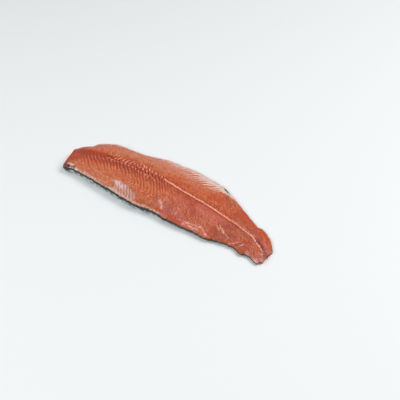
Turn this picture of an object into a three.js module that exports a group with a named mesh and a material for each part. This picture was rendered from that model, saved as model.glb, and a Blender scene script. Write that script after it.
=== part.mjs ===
// A raw salmon fillet lying skin side down: the boned flesh of one side of the fish, and its skin.
// Millimetres. +X runs from the head end to the tail, +Y from the back edge to the belly edge, +Z up.
// The origin is at the middle of the fillet's box, on the surface that the skin rests on.
import * as THREE from "three";

// Driving dimensions.
const LENGTH = 532;
const WIDTH = 160;
const LOIN_HEIGHT = 35;
const SKIN_THICKNESS = 1.2;
const SKIN_GAP = 0.4; // between skin and flesh, so that the two solids stay apart
const FLESH_FLOOR = SKIN_THICKNESS + SKIN_GAP; // height of the flesh's flat underside

// The muscle is made of bands, split by sheets of fat that sweep back from the seam to both edges.
const MUSCLE_BANDS = 62;
const BAND_SWEEP = 0.95; // mm towards the tail for each mm away from the seam
const FAT_LINE_DEPTH = 0.8;

// How finely the solids are cut into faces.
const SECTIONS = 2 * MUSCLE_BANDS; // a crest and a furrow for each band
// Rows of corners over the top, as shares of the way across: closer at the edges and by the seam.
const TOP_ROWS = [0, 0.04, 0.1, 0.18, 0.27, 0.36, 0.42, 0.46, 0.5, 0.54, 0.58, 0.65, 0.75, 0.86, 0.94, 1];
const CURL_STEPS = 4; // faces round the curl of an edge

const mix = THREE.MathUtils.lerp;
const smooth = (low, high, value) => THREE.MathUtils.smoothstep(value, low, high);
// 1 between two places and 0 outside them, with a soft step at both.
const within = (from, to, step, value) =>
  smooth(from, from + step, value) * (1 - smooth(to - step, to, value));

// A smooth curve through [place, value] points, flat past its ends.
function curveThrough(points) {
  const slope = (i) => {
    const before = points[Math.max(i - 1, 0)];
    const after = points[Math.min(i + 1, points.length - 1)];
    return (after[1] - before[1]) / (after[0] - before[0]);
  };
  return (place) => {
    const p = THREE.MathUtils.clamp(place, points[0][0], points[points.length - 1][0]);
    const i = Math.max(1, points.findIndex((point) => point[0] >= p));
    const [x0, y0] = points[i - 1];
    const [x1, y1] = points[i];
    const step = x1 - x0;
    const u = (p - x0) / step;
    const rise = 3 * u * u - 2 * u * u * u;
    const leave = u * (1 - u) * (1 - u) * step * slope(i - 1);
    const arrive = u * u * (u - 1) * step * slope(i);
    return mix(y0, y1, rise) + leave + arrive;
  };
}

// The outline in plan. Places are shares of the length from the head end; values are shares of the
// width, from about -0.5 at the widest part of the back to 0.5 at the widest part of the belly.
const backEdge = curveThrough([
  [0, -0.36], [0.035, -0.412], [0.075, -0.39], [0.2, -0.425], [0.29, -0.453], [0.36, -0.478],
  [0.43, -0.488], [0.49, -0.46], [0.6, -0.474], [0.7, -0.46], [0.755, -0.465], [0.79, -0.425],
  [0.87, -0.4], [0.904, -0.442], [0.925, -0.415], [0.985, -0.468],
]);
const bellyEdge = curveThrough([
  [0, -0.05], [0.02, 0.052], [0.05, 0.127], [0.06, 0.15], [0.064, 0.2], [0.085, 0.262],
  [0.14, 0.35], [0.21, 0.368], [0.28, 0.393], [0.38, 0.472], [0.44, 0.473], [0.485, 0.492],
  [0.57, 0.463], [0.665, 0.415], [0.71, 0.345], [0.8, 0.195], [0.885, 0.056], [0.912, 0.046],
  [0.965, -0.06], [1, -0.194],
]);
const seam = curveThrough([
  [0, -0.17], [0.06, -0.128], [0.12, -0.078], [0.24, 0.016], [0.3, 0.038], [0.37, 0.038],
  [0.45, 0.017], [0.515, 0.008], [0.57, -0.02], [0.66, -0.031], [0.74, -0.058], [0.82, -0.1],
  [0.892, -0.152], [0.942, -0.24], [1, -0.375],
]);

// The ends, from the back edge (0) to the belly edge (1): how far each lies inside the full length.
const headCut = curveThrough([[0, 12], [0.1, 12.5], [0.3, 11], [0.55, 6.5], [0.8, 2.5], [1, 0]]);
const tailCut = curveThrough([[0, 9], [0.12, 2.5], [0.5, 3], [0.8, 2.5], [1, 0]]);

// Heights along the fillet, as shares of the loin's.
const loinHeight = curveThrough([
  [0, 0.52], [0.06, 0.8], [0.16, 0.97], [0.3, 1], [0.5, 0.93], [0.65, 0.78], [0.78, 0.63],
  [0.9, 0.48], [1, 0.22],
]);
const seamHeight = curveThrough([
  [0, 0.53], [0.06, 0.74], [0.16, 0.84], [0.3, 0.87], [0.5, 0.8], [0.65, 0.69], [0.78, 0.56],
  [0.9, 0.42], [1, 0.2],
]);
const flankHeight = curveThrough([
  [0, 0.5], [0.06, 0.64], [0.16, 0.69], [0.3, 0.67], [0.5, 0.56], [0.65, 0.5], [0.78, 0.46],
  [0.9, 0.35], [1, 0.19],
]);
const backShoulder = curveThrough([
  [0, 0.44], [0.15, 0.6], [0.4, 0.58], [0.7, 0.36], [0.9, 0.27], [1, 0.17],
]);
const bellyShoulder = curveThrough([
  [0, 0.44], [0.1, 0.42], [0.25, 0.34], [0.5, 0.27], [0.7, 0.28], [1, 0.16],
]);

// The edges. The skin curls up at both, along the quarter of an ellipse and a little past it, up to
// its rim, and the flesh slopes back above the rim over the width of the cut.
const backSide = {
  inwards: 1,
  cut: 6,
  curl: 6.5,
  rimHeight: curveThrough([
    [0, 12], [0.08, 16], [0.2, 18], [0.35, 17.5], [0.5, 14], [0.65, 10.5], [0.8, 7.5], [1, 5],
  ]),
  turn: curveThrough([[0, 0.5], [0.35, 0.5], [0.5, 0.4], [0.7, 0.2], [1, 0.1]]), // radians
};
const bellySide = {
  inwards: -1,
  cut: 4,
  curl: 17,
  rimHeight: curveThrough([[0, 8], [0.12, 7], [0.3, 5.5], [0.6, 5], [1, 4]]),
  turn: () => 0.1,
};

// Marks on the flesh. Places along the length are shares of it; the rest is in millimetres.
const PIN_BONES = { from: 0.16, to: 0.46, step: 0.03, reach: 8, height: 0.9 }; // two rows of nubs
const SEAM_GROOVE = { from: 0.03, to: 0.97, step: 0.08, reach: 4, depth: 1 };
const FIN_SCAR = { from: 0.27, to: 0.405, step: 0.03, reach: 27, blend: 8, depth: 1.6 }; // back fin
const SWEPT = { headEnd: 0.2, tailStart: 0.74 }; // where the bands have their full sweep
const BELLY_FURROW = { depth: 0.35, blend: 0.06 }; // beyond the seam the furrows are shallower
const MARKS_EDGE = 0.1; // share across, at both edges, over which the marks fade out
const LOIN_SLOPE = { across: 0.12, share: 0.66 }; // how far the loin has risen from its shoulder

// How far a band has swept back at a distance from the seam. The sweep dies out at the cut ends.
function sweep(along, fromSeam) {
  return BAND_SWEEP * fromSeam * smooth(0, SWEPT.headEnd, along) * (1 - smooth(SWEPT.tailStart, 1, along));
}

// A place in plan, for a share along the length and a share across: 0 back edge, 0.5 seam, 1 belly
// edge. The two cuts are how far inside the outline the shares across begin and end.
function inPlan(along, across, backCut, bellyCut) {
  const halfWidth = across < 0.5 ? seam(along) - backEdge(along) : bellyEdge(along) - seam(along);
  const fromSeam = Math.abs(2 * across - 1) * halfWidth * WIDTH;
  const from = headCut(across);
  const to = LENGTH - tailCut(across);
  const place = THREE.MathUtils.clamp(along + sweep(along, fromSeam) / LENGTH, 0, 1);
  const x = mix(from, to, place);
  const share = x / LENGTH;
  const back = backEdge(share) * WIDTH + backCut;
  const middle = seam(share) * WIDTH;
  const belly = bellyEdge(share) * WIDTH - bellyCut;
  const y = across < 0.5 ? mix(back, middle, 2 * across) : mix(middle, belly, 2 * across - 1);
  return { x: x - LENGTH / 2, y, share };
}

// Height of the flesh without its marks.
function bareHeight(share, across) {
  const profile = curveThrough([
    [0, backShoulder(share)],
    [LOIN_SLOPE.across, mix(backShoulder(share), loinHeight(share), LOIN_SLOPE.share)],
    [0.3, loinHeight(share)],
    [0.5, seamHeight(share)],
    [0.75, flankHeight(share)],
    [1, bellyShoulder(share)],
  ]);
  return profile(across) * LOIN_HEIGHT;
}

// What the marks add to that height. Every other section lies in a furrow of fat.
function markHeight(section, { x, y, share }, across) {
  const isFurrow = section % 2 === 0;
  const fromSeam = Math.abs(y - seam(share) * WIDTH);
  const fromBack = y - backEdge(share) * WIDTH;
  const awayFromEnds = within(SEAM_GROOVE.from, SEAM_GROOVE.to, SEAM_GROOVE.step, share);
  const onFlesh = within(0, 1, MARKS_EDGE, across) * awayFromEnds;
  const pastSeam = smooth(0.5, 0.5 + BELLY_FURROW.blend, across);
  const furrowShare = mix(1, BELLY_FURROW.depth, pastSeam) * onFlesh;
  const furrow = isFurrow ? -FAT_LINE_DEPTH * furrowShare : 0;
  const groove = -SEAM_GROOVE.depth * Math.max(0, 1 - fromSeam / SEAM_GROOVE.reach) * onFlesh;

  const alongBones = within(PIN_BONES.from, PIN_BONES.to, PIN_BONES.step, share);
  const besideSeam = Math.max(0, 1 - Math.abs(fromSeam - PIN_BONES.reach) / PIN_BONES.reach);
  const nub = (isFurrow ? -1 : 1) * PIN_BONES.height * alongBones * besideSeam;

  const alongScar = within(FIN_SCAR.from, FIN_SCAR.to, FIN_SCAR.step, x / LENGTH + 0.5);
  const acrossScar = 1 - smooth(FIN_SCAR.reach - FIN_SCAR.blend, FIN_SCAR.reach, fromBack);
  return furrow + groove + nub - FIN_SCAR.depth * alongScar * acrossScar;
}

// A point of the skin's curve under the flesh, pushed outwards by a depth along the curve's normal.
// The share runs from the rim (0) to the flat underside (1).
function curlPoint(along, side, curlShare, depth) {
  const edge = inPlan(along, side.inwards > 0 ? 0 : 1, 0, 0);
  const turn = side.turn(edge.share);
  const rise = (side.rimHeight(edge.share) - FLESH_FLOOR) / (1 + Math.sin(turn));
  const angle = mix(turn, -Math.PI / 2, curlShare);
  const outwards = side.curl * (Math.cos(angle) - Math.cos(turn));
  const normal = new THREE.Vector2(Math.cos(angle) / side.curl, Math.sin(angle) / rise).normalize();
  return new THREE.Vector3(
    edge.x,
    edge.y - side.inwards * (outwards + normal.x * depth),
    FLESH_FLOOR + rise * (1 + Math.sin(angle)) + normal.y * depth,
  );
}

// The skin's curve from the back edge to the belly edge.
function underCurve(along, depth) {
  const shares = Array.from({ length: CURL_STEPS + 1 }, (_, step) => step / CURL_STEPS);
  const back = shares.map((share) => curlPoint(along, backSide, share, depth));
  const belly = shares.map((share) => curlPoint(along, bellySide, share, depth)).reverse();
  return [...back, ...belly];
}

// A corner that rounds the flesh between the last row of its top and the rim of its skin.
function sideCorner(top, rim) {
  return new THREE.Vector3(mix(top.x, rim.x, 0.7), mix(top.y, rim.y, 0.7), mix(top.z, rim.z, 0.35));
}

// The corners of the flesh in one section: over the top from the back to the belly, round the belly
// edge, under it to the back, and up the back edge.
function fleshSection(index) {
  const along = index / SECTIONS;
  const top = TOP_ROWS.map((across) => {
    const place = inPlan(along, across, backSide.cut, bellySide.cut);
    const height = bareHeight(place.share, across) + markHeight(index, place, across);
    return new THREE.Vector3(place.x, place.y, height);
  });
  const under = underCurve(along, 0).reverse();
  const bellyCorner = sideCorner(top[top.length - 1], under[0]);
  const backCorner = sideCorner(top[0], under[under.length - 1]);
  return [...top, bellyCorner, ...under, backCorner];
}

// The corners of the skin in one section: its inner face from back to belly, its outer face back.
function skinSection(index) {
  const along = index / SECTIONS;
  return [...underCurve(along, SKIN_GAP), ...underCurve(along, FLESH_FLOOR).reverse()];
}

// Flat faces that close a section, facing the head (-1) or the tail (1).
function capFaces(section, facing) {
  const contour = section.map((corner) => new THREE.Vector2(corner.y, corner.z));
  return THREE.ShapeUtils.triangulateShape(contour, []).map(([a, b, c]) => {
    const area = contour[b].clone().sub(contour[a]).cross(contour[c].clone().sub(contour[a]));
    return area * facing > 0 ? [a, b, c] : [a, c, b];
  });
}

// One closed body over a row of sections with the same number of corners.
function loft(sections) {
  const corners = sections[0].length;
  const faces = [...capFaces(sections[0], -1)];
  for (let i = 0; i + 1 < sections.length; i++) {
    for (let k = 0; k < corners; k++) {
      const a = i * corners + k;
      const b = i * corners + ((k + 1) % corners);
      faces.push([a, a + corners, b + corners], [a, b + corners, b]);
    }
  }
  const last = (sections.length - 1) * corners;
  const tail = capFaces(sections[sections.length - 1], 1);
  faces.push(...tail.map((face) => face.map((corner) => corner + last)));
  const geometry = new THREE.BufferGeometry().setFromPoints(sections.flat());
  geometry.setIndex(faces.flat());
  geometry.computeVertexNormals();
  return geometry;
}

function makeSections(makeSection) {
  return Array.from({ length: SECTIONS + 1 }, (_, index) => makeSection(index));
}

function makeFlesh() {
  const geometry = loft(makeSections(fleshSection));
  const material = new THREE.MeshStandardMaterial({ color: 0xc4623e, roughness: 0.38, metalness: 0 });
  const flesh = new THREE.Mesh(geometry, material);
  flesh.name = "flesh";
  return flesh;
}

function makeSkin() {
  const geometry = loft(makeSections(skinSection));
  const material = new THREE.MeshStandardMaterial({ color: 0x4a5452, roughness: 0.3, metalness: 0.35 });
  const skin = new THREE.Mesh(geometry, material);
  skin.name = "skin";
  return skin;
}

const fillet = new THREE.Group();
fillet.add(makeFlesh(), makeSkin());
const box = new THREE.Box3().setFromObject(fillet);
const middle = box.getCenter(new THREE.Vector3());
fillet.position.set(-middle.x, -middle.y, -box.min.z);

export default fillet;
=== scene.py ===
"""Looks of a raw salmon fillet lying skin side down: the flesh with its bands of muscle, fat lines, cut pin
bones and pale seam, over a scaled skin.

Places on the fillet are in millimetres: +X from the head end to the tail, +Y from the back edge to the
belly edge, +Z up. Meshes are scaled to metres when they are made."""

import math

import bpy
import numpy as np
from mathutils import Matrix
from mathutils.bvhtree import BVHTree


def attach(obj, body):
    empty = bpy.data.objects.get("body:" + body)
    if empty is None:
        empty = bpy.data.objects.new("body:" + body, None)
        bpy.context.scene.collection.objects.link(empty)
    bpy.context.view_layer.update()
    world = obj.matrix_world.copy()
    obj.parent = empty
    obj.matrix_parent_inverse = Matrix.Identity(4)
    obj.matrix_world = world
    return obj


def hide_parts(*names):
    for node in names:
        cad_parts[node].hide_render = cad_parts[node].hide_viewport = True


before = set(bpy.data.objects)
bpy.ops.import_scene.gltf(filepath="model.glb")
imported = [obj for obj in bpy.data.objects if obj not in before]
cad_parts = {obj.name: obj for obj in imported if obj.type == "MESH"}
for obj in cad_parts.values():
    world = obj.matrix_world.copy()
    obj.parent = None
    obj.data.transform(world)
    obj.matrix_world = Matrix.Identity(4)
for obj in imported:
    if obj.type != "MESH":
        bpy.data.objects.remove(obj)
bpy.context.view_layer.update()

MM = 0.001

# ------------------------------------------------------------------------------------ curves and fields


def mix(start, end, share):
    return start + (end - start) * share


def smooth(low, high, value):
    """0 below low and 1 above high, with a soft step between them."""
    share = np.clip((value - low) / (high - low), 0, 1)
    return share * share * (3 - 2 * share)


def within(low, high, step, value):
    """1 between low and high and 0 outside them, with a soft step at both."""
    return smooth(low - step, low + step, value) * (1 - smooth(high - step, high + step, value))


def through(points, place):
    """The value at each place of a smooth curve through (place, value) points, flat past its ends.

    A point's value is a number, or an array with one value for each place."""
    place = np.clip(place, points[0][0], points[-1][0])
    last = len(points) - 1
    slopes = []
    for i in range(len(points)):
        before, after = points[max(i - 1, 0)], points[min(i + 1, last)]
        slopes.append((after[1] - before[1]) / (after[0] - before[0]))
    result = place * 0 + points[0][1]
    for i in range(1, len(points)):
        (x0, y0), (x1, y1) = points[i - 1], points[i]
        u = np.clip((place - x0) / (x1 - x0), 0, 1)
        curved = (x1 - x0) * (u * (1 - u) ** 2 * slopes[i - 1] + u * u * (u - 1) * slopes[i])
        result = np.where(place >= x0, mix(y0, y1, 3 * u**2 - 2 * u**3) + curved, result)
    return result


def curve(*points):
    return lambda place: through(points, place)


WAVES = 6  # sine waves that are added up for one field of random swells


def swells(x, y, size, seed):
    """Gentle random rise and fall over the fillet, about -1 to 1, in swells about as long as size."""
    random = np.random.default_rng(seed)
    total = 0
    for _ in range(WAVES):
        heading, shift = random.uniform(0, math.tau, 2)
        length = size * random.uniform(0.7, 1.6)
        run = x * math.cos(heading) + y * math.sin(heading)
        total = total + np.sin(run / length * math.tau + shift)
    return total / math.sqrt(WAVES)


def beside(x, y, stops, width):
    """1 along a line through stops, down to a half at half the width to both sides of it, then to 0."""
    nearest = np.full(np.shape(x), np.inf)
    for (x0, y0), (x1, y1) in zip(stops, stops[1:]):
        run, rise = x1 - x0, y1 - y0
        share = np.clip(((x - x0) * run + (y - y0) * rise) / (run * run + rise * rise), 0, 1)
        nearest = np.minimum(nearest, np.hypot(x - x0 - share * run, y - y0 - share * rise))
    return 1 - smooth(0.25 * width, 0.75 * width, nearest)


def any_beside(x, y, lines, width):
    """1 along any of the lines."""
    return np.max([beside(x, y, stops, width) for stops in lines], axis=0)


def patch_fields(x, y, patches):
    """A field for each patch, from its strength, its width and the stops of the line along it."""
    return [strength * beside(x, y, stops, width) for strength, width, stops in patches]


# ------------------------------------------------------------------------------------- the fillet's form
# The same outline and heights as its solids have. Places along are shares of the length from the head end,
# outlines are shares of the width, and heights are shares of the loin's.

LENGTH = 532
WIDTH = 160
LOIN_HEIGHT = 35
SKIN_DEPTH = 1.6  # from the flesh's underside to the skin's

back_edge = curve(
    (0, -0.36), (0.035, -0.412), (0.075, -0.39), (0.2, -0.425), (0.29, -0.453), (0.36, -0.478),
    (0.43, -0.488), (0.49, -0.46), (0.6, -0.474), (0.7, -0.46), (0.755, -0.465), (0.79, -0.425),
    (0.87, -0.4), (0.904, -0.442), (0.925, -0.415), (0.985, -0.468),
)
belly_edge = curve(
    (0, -0.05), (0.02, 0.052), (0.05, 0.127), (0.06, 0.15), (0.064, 0.2), (0.085, 0.262),
    (0.14, 0.35), (0.21, 0.368), (0.28, 0.393), (0.38, 0.472), (0.44, 0.473), (0.485, 0.492),
    (0.57, 0.463), (0.665, 0.415), (0.71, 0.345), (0.8, 0.195), (0.885, 0.056), (0.912, 0.046),
    (0.965, -0.06), (1, -0.194),
)
seam = curve(
    (0, -0.17), (0.06, -0.128), (0.12, -0.078), (0.24, 0.016), (0.3, 0.038), (0.37, 0.038),
    (0.45, 0.017), (0.515, 0.008), (0.57, -0.02), (0.66, -0.031), (0.74, -0.058), (0.82, -0.1),
    (0.892, -0.152), (0.942, -0.24), (1, -0.375),
)
# How far the cut ends lie inside the full length, from the back edge (0) to the belly edge (1).
head_cut = curve((0, 12), (0.1, 12.5), (0.3, 11), (0.55, 6.5), (0.8, 2.5), (1, 0))
tail_cut = curve((0, 9), (0.12, 2.5), (0.5, 3), (0.8, 2.5), (1, 0))

loin_height = curve(
    (0, 0.52), (0.06, 0.8), (0.16, 0.97), (0.3, 1), (0.5, 0.93), (0.65, 0.78), (0.78, 0.63),
    (0.9, 0.48), (1, 0.22),
)
seam_height = curve(
    (0, 0.53), (0.06, 0.74), (0.16, 0.84), (0.3, 0.87), (0.5, 0.8), (0.65, 0.69), (0.78, 0.56),
    (0.9, 0.42), (1, 0.2),
)
flank_height = curve(
    (0, 0.5), (0.06, 0.64), (0.16, 0.69), (0.3, 0.67), (0.5, 0.56), (0.65, 0.5), (0.78, 0.46),
    (0.9, 0.35), (1, 0.19),
)
back_shoulder = curve((0, 0.44), (0.15, 0.6), (0.4, 0.58), (0.7, 0.36), (0.9, 0.27), (1, 0.17))
belly_shoulder = curve((0, 0.44), (0.1, 0.42), (0.25, 0.34), (0.5, 0.27), (0.7, 0.28), (1, 0.16))


class Side:
    """An edge of the fillet, where the skin curls up round an ellipse to its rim."""

    def __init__(self, across, inwards, cut, curl, rim_height, turn):
        self.across = across
        self.inwards = inwards  # direction in Y towards the middle of the fillet
        self.cut = cut  # width over which the flesh rounds up from the rim
        self.curl = curl  # half the width of the ellipse
        self.rim_height = rim_height
        self.turn = turn  # angle round the ellipse, from its widest place up to the rim


BACK = Side(
    across=0, inwards=1, cut=6, curl=6.5,
    rim_height=curve(
        (0, 12), (0.08, 16), (0.2, 18), (0.35, 17.5), (0.5, 14), (0.65, 10.5), (0.8, 7.5), (1, 5),
    ),
    turn=curve((0, 0.5), (0.35, 0.5), (0.5, 0.4), (0.7, 0.2), (1, 0.1)),
)
BELLY = Side(
    across=1, inwards=-1, cut=4, curl=17,
    rim_height=curve((0, 8), (0.12, 7), (0.3, 5.5), (0.6, 5), (1, 4)),
    turn=curve((0, 0.1), (1, 0.1)),
)

SHIFT = 0.177  # moves the outline in Y so that the middle of the solids' box is the origin

# The knife left the rim of the skin a little ragged.
RAGGED_LENGTH = 15
RAGGED_DEPTH = 0.6  # mean depth of the dents
RAGGED_LIFT = 0.05  # rise and fall, as a share of the rim's height
DENT_SEED = 35  # each side adds its own number, 0 or 1, to this seed and the next
LIFT_SEED = 37


def in_plan(along, across, back_cut=0, belly_cut=0):
    """Place in plan for a share along the length and a share across: 0 back edge, 0.5 seam, 1 belly edge."""
    x = mix(head_cut(across), LENGTH - tail_cut(across), along)
    share = x / LENGTH
    back = back_edge(share) * WIDTH + back_cut
    middle = seam(share) * WIDTH
    belly = belly_edge(share) * WIDTH - belly_cut
    y = np.where(across < 0.5, mix(back, middle, 2 * across), mix(middle, belly, 2 * across - 1))
    return x - LENGTH / 2, y + SHIFT, share


def top_height(share, across):
    """Height of the flesh before its muscle bands are carved."""
    shoulder, loin = back_shoulder(share), loin_height(share)
    profile = [(0, shoulder), (0.12, mix(shoulder, loin, 0.66)), (0.3, loin), (0.5, seam_height(share))]
    profile += [(0.75, flank_height(share)), (1, belly_shoulder(share))]
    return through(profile, across) * LOIN_HEIGHT


def curl_point(along, side, curl_share, depth):
    """A point of the skin's curve, at a depth outside the flesh. The share runs from rim to underside."""
    x, y, share = in_plan(along, np.full(np.shape(along), float(side.across)))
    dents = swells(x, 0 * x, RAGGED_LENGTH, DENT_SEED + side.across)
    y = y + side.inwards * np.clip(1 + dents, 0, 2) * RAGGED_DEPTH
    lift = 1 + RAGGED_LIFT * swells(x, 0 * x, RAGGED_LENGTH, LIFT_SEED + side.across)
    turn = side.turn(share)
    rise = (side.rim_height(share) * lift - SKIN_DEPTH) / (1 + np.sin(turn))
    angle = mix(turn, -math.pi / 2, curl_share)
    normal = np.stack([np.cos(angle) / side.curl, np.sin(angle) / rise])
    normal = normal / np.hypot(*normal)
    outwards = side.curl * (np.cos(angle) - np.cos(turn)) + normal[0] * depth
    z = SKIN_DEPTH + rise * (1 + np.sin(angle)) + normal[1] * depth
    return np.stack([x, y - side.inwards * outwards, z], -1)


# ------------------------------------------------------------------------------------------ mesh helpers


def make_mesh(name, corners, faces, fields):
    """A smooth mesh object from corners in millimetres, with a named attribute for each field."""
    mesh = bpy.data.meshes.new(name)
    mesh.from_pydata((corners * MM).tolist(), [], [list(map(int, face)) for face in faces])
    mesh.shade_smooth()
    for field, values in fields.items():
        kind, key = ("FLOAT_VECTOR", "vector") if values.ndim == 2 else ("FLOAT", "value")
        attribute = mesh.attributes.new(field, kind, "POINT")
        attribute.data.foreach_set(key, values.astype(np.float32).ravel())
    obj = bpy.data.objects.new(name, mesh)
    bpy.context.scene.collection.objects.link(obj)
    return obj


def lengths_along(rows):
    """Distance of each point from the first one of its row."""
    steps = np.linalg.norm(np.diff(rows, axis=1), axis=2)
    return np.concatenate([np.zeros((len(rows), 1)), np.cumsum(steps, 1)], 1)


def neighbours(columns, rows, steps):
    """The first corners of each column but the last, as many as steps, and the corners that follow them."""
    i, k = np.meshgrid(np.arange(columns - 1), np.arange(steps), indexing="ij")
    return i * rows + k, i * rows + (k + 1) % rows


def tube_faces(columns, rows):
    """Quads of a tube with open ends, whose columns are closed rings of rows corners."""
    corner, following = neighbours(columns, rows, rows)
    return np.stack([corner, corner + rows, following + rows, following], -1).reshape(-1, 4)


def sheet_faces(columns, rows):
    """Quads of an open sheet, whose columns are lines of rows corners."""
    corner, following = neighbours(columns, rows, rows - 1)
    return np.stack([corner, following, following + rows, corner + rows], -1).reshape(-1, 4)


def strip_faces(upper, lower):
    """Faces between two rows with the same ends and the same number of corners."""
    faces = []
    for k in range(len(upper) - 1):
        corners = (upper[k], lower[k], lower[k + 1], upper[k + 1])
        faces.append(tuple(dict.fromkeys(corners)))
    return faces


def zip_faces(first, second, place):
    """Triangles between two rows of corners that run the same way, by the place of each corner."""
    faces = []
    i = k = 0
    while i < len(first) - 1 or k < len(second) - 1:
        step_first = k == len(second) - 1 or (
            i < len(first) - 1 and place[first[i + 1]] < place[second[k + 1]]
        )
        if step_first:
            faces.append((first[i], second[k], first[i + 1]))
            i += 1
        else:
            faces.append((first[i], second[k], second[k + 1]))
            k += 1
    return faces


def run_tree(obj, tree, values):
    """Runs a Geometry Nodes tree on the object, with inputs set by name, and keeps the result as its mesh."""
    modifier = obj.modifiers.new(tree.name, "NODES")
    modifier.node_group = tree
    for item in tree.interface.items_tree:
        if item.in_out == "INPUT" and item.name in values:
            modifier[item.identifier] = values[item.name]
    depsgraph = bpy.context.evaluated_depsgraph_get()
    result = bpy.data.meshes.new_from_object(obj.evaluated_get(depsgraph), depsgraph=depsgraph)
    obj.modifiers.remove(modifier)
    obj.data = result
    result.name = obj.name
    result.materials.clear()
    result.materials.append(values["Material"])
    return obj


# ------------------------------------------------------------------------------------------ node helpers

SOCKET_KINDS = {float: "NodeSocketFloat", int: "NodeSocketInt", tuple: "NodeSocketColor"}


class Graph:
    """Adds nodes to a shader or geometry tree, so that a tree is written as sums are."""

    def __init__(self, tree):
        self.tree = tree

    def add(self, kind, inputs=None, **settings):
        node = self.tree.nodes.new(kind)
        for name, value in settings.items():
            setattr(node, name, value)
        for name, value in (inputs or {}).items():
            self.feed(node.inputs[name], value)
        return node

    def feed(self, socket, value):
        if isinstance(value, bpy.types.NodeSocket):
            self.tree.links.new(value, socket)
        elif isinstance(value, tuple) and len(value) == 3 and len(socket.default_value) == 4:
            socket.default_value = (*value, 1)
        else:
            socket.default_value = value

    def math(self, operation, *values, clamp=False):
        node = self.add("ShaderNodeMath", dict(enumerate(values)), operation=operation, use_clamp=clamp)
        return node.outputs[0]

    def plus(self, first, *others):
        for other in others:
            first = self.math("ADD", first, other)
        return first

    def times(self, first, *others):
        for other in others:
            first = self.math("MULTIPLY", first, other)
        return first

    def fade(self, value, low, high, start=0.0, end=1.0):
        """start below low, end above high, with a soft step between them."""
        limits = {"Value": value, "From Min": low, "From Max": high, "To Min": start, "To Max": end}
        return self.add("ShaderNodeMapRange", limits, interpolation_type="SMOOTHSTEP").outputs[0]

    def vector(self, operation, *values):
        return self.add("ShaderNodeVectorMath", dict(enumerate(values)), operation=operation).outputs[0]

    def scaled(self, vector, factor):
        return self.add("ShaderNodeVectorMath", {0: vector, "Scale": factor}, operation="SCALE").outputs[0]

    def joined(self, **axes):
        """A vector from its X, Y and Z, of which those left out are 0."""
        return self.add("ShaderNodeCombineXYZ", axes).outputs[0]

    def axes(self, vector):
        return self.add("ShaderNodeSeparateXYZ", {"Vector": vector}).outputs

    def colour(self, share, first, second):
        node = self.add("ShaderNodeMix", data_type="RGBA")
        for socket, value in zip((node.inputs[0], node.inputs[6], node.inputs[7]), (share, first, second)):
            self.feed(socket, value)
        return node.outputs[2]

    def noise(self, place, scale, detail=2.0, roughness=0.5):
        inputs = {"Vector": place, "Scale": scale, "Detail": detail, "Roughness": roughness}
        return self.add("ShaderNodeTexNoise", inputs).outputs[0]


def new_tree(name, kind, inputs, outputs):
    """A node tree with named inputs, made from their usual values, and named outputs of given kinds."""
    tree = bpy.data.node_groups.new(name, kind)
    for label, value in inputs.items():
        socket_kind = value if isinstance(value, str) else SOCKET_KINDS[type(value)]
        socket = tree.interface.new_socket(label, in_out="INPUT", socket_type=socket_kind)
        if not isinstance(value, str):
            socket.default_value = (*value, 1) if isinstance(value, tuple) else value
    for label, socket_kind in outputs.items():
        tree.interface.new_socket(label, in_out="OUTPUT", socket_type=socket_kind)
    graph = Graph(tree)
    return graph, graph.add("NodeGroupInput").outputs, graph.add("NodeGroupOutput")


def geometry_tree(name, inputs):
    inputs = {"Geometry": "NodeSocketGeometry", **inputs, "Material": "NodeSocketMaterial"}
    return new_tree(name, "GeometryNodeTree", inputs, {"Geometry": "NodeSocketGeometry"})


def end_tree(graph, given, ending, geometry):
    """Every Geometry Nodes tree ends by realizing its instances and setting the material."""
    realized = graph.add("GeometryNodeRealizeInstances", {"Geometry": geometry}).outputs[0]
    painted = graph.add("GeometryNodeSetMaterial", {"Geometry": realized, "Material": given["Material"]})
    graph.feed(ending.inputs["Geometry"], painted.outputs[0])


def read_field(graph, name, kind="FLOAT"):
    """A named attribute of the mesh, in a Geometry Nodes tree."""
    return graph.add("GeometryNodeInputNamedAttribute", {"Name": name}, data_type=kind).outputs[0]


def read_mask(graph, name):
    """A named attribute of the mesh, in a material."""
    return graph.add("ShaderNodeAttribute", attribute_name=name).outputs["Fac"]


def random_value(graph, low, high, seed):
    node = graph.add("FunctionNodeRandomValue", data_type="FLOAT")
    for socket in node.inputs:
        if socket.enabled and socket.name in ("Min", "Max", "Seed"):
            graph.feed(socket, {"Min": low, "Max": high, "Seed": seed}[socket.name])
    return next(socket for socket in node.outputs if socket.enabled)


def swing(graph, given):
    """A random turn about Z."""
    angle = random_value(graph, graph.times(given["Turn Spread"], -1.0), given["Turn Spread"], given["Seed"])
    return graph.add("FunctionNodeEulerToRotation", {"Euler": graph.joined(Z=angle)}).outputs[0]


TONE_SEED = 7.0  # added to a tree's seed for the tones


def scattered(graph, given, points, shape, turn):
    """A copy of the shape on each point, each of its own size and tone."""
    low = graph.math("SUBTRACT", 1.0, given["Size Spread"])
    high = graph.math("ADD", 1.0, given["Size Spread"])
    size = random_value(graph, low, high, given["Seed"])
    inputs = {"Points": points, "Instance": shape, "Rotation": turn, "Scale": size}
    copies = graph.add("GeometryNodeInstanceOnPoints", inputs).outputs[0]
    tone = random_value(graph, 0.0, 1.0, graph.math("ADD", given["Seed"], TONE_SEED))
    named = {"Geometry": copies, "Name": "tone", "Value": tone}
    return graph.add("GeometryNodeStoreNamedAttribute", named, domain="INSTANCE").outputs[0]


# --------------------------------------------------------------------------------- lines on the flesh

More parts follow.
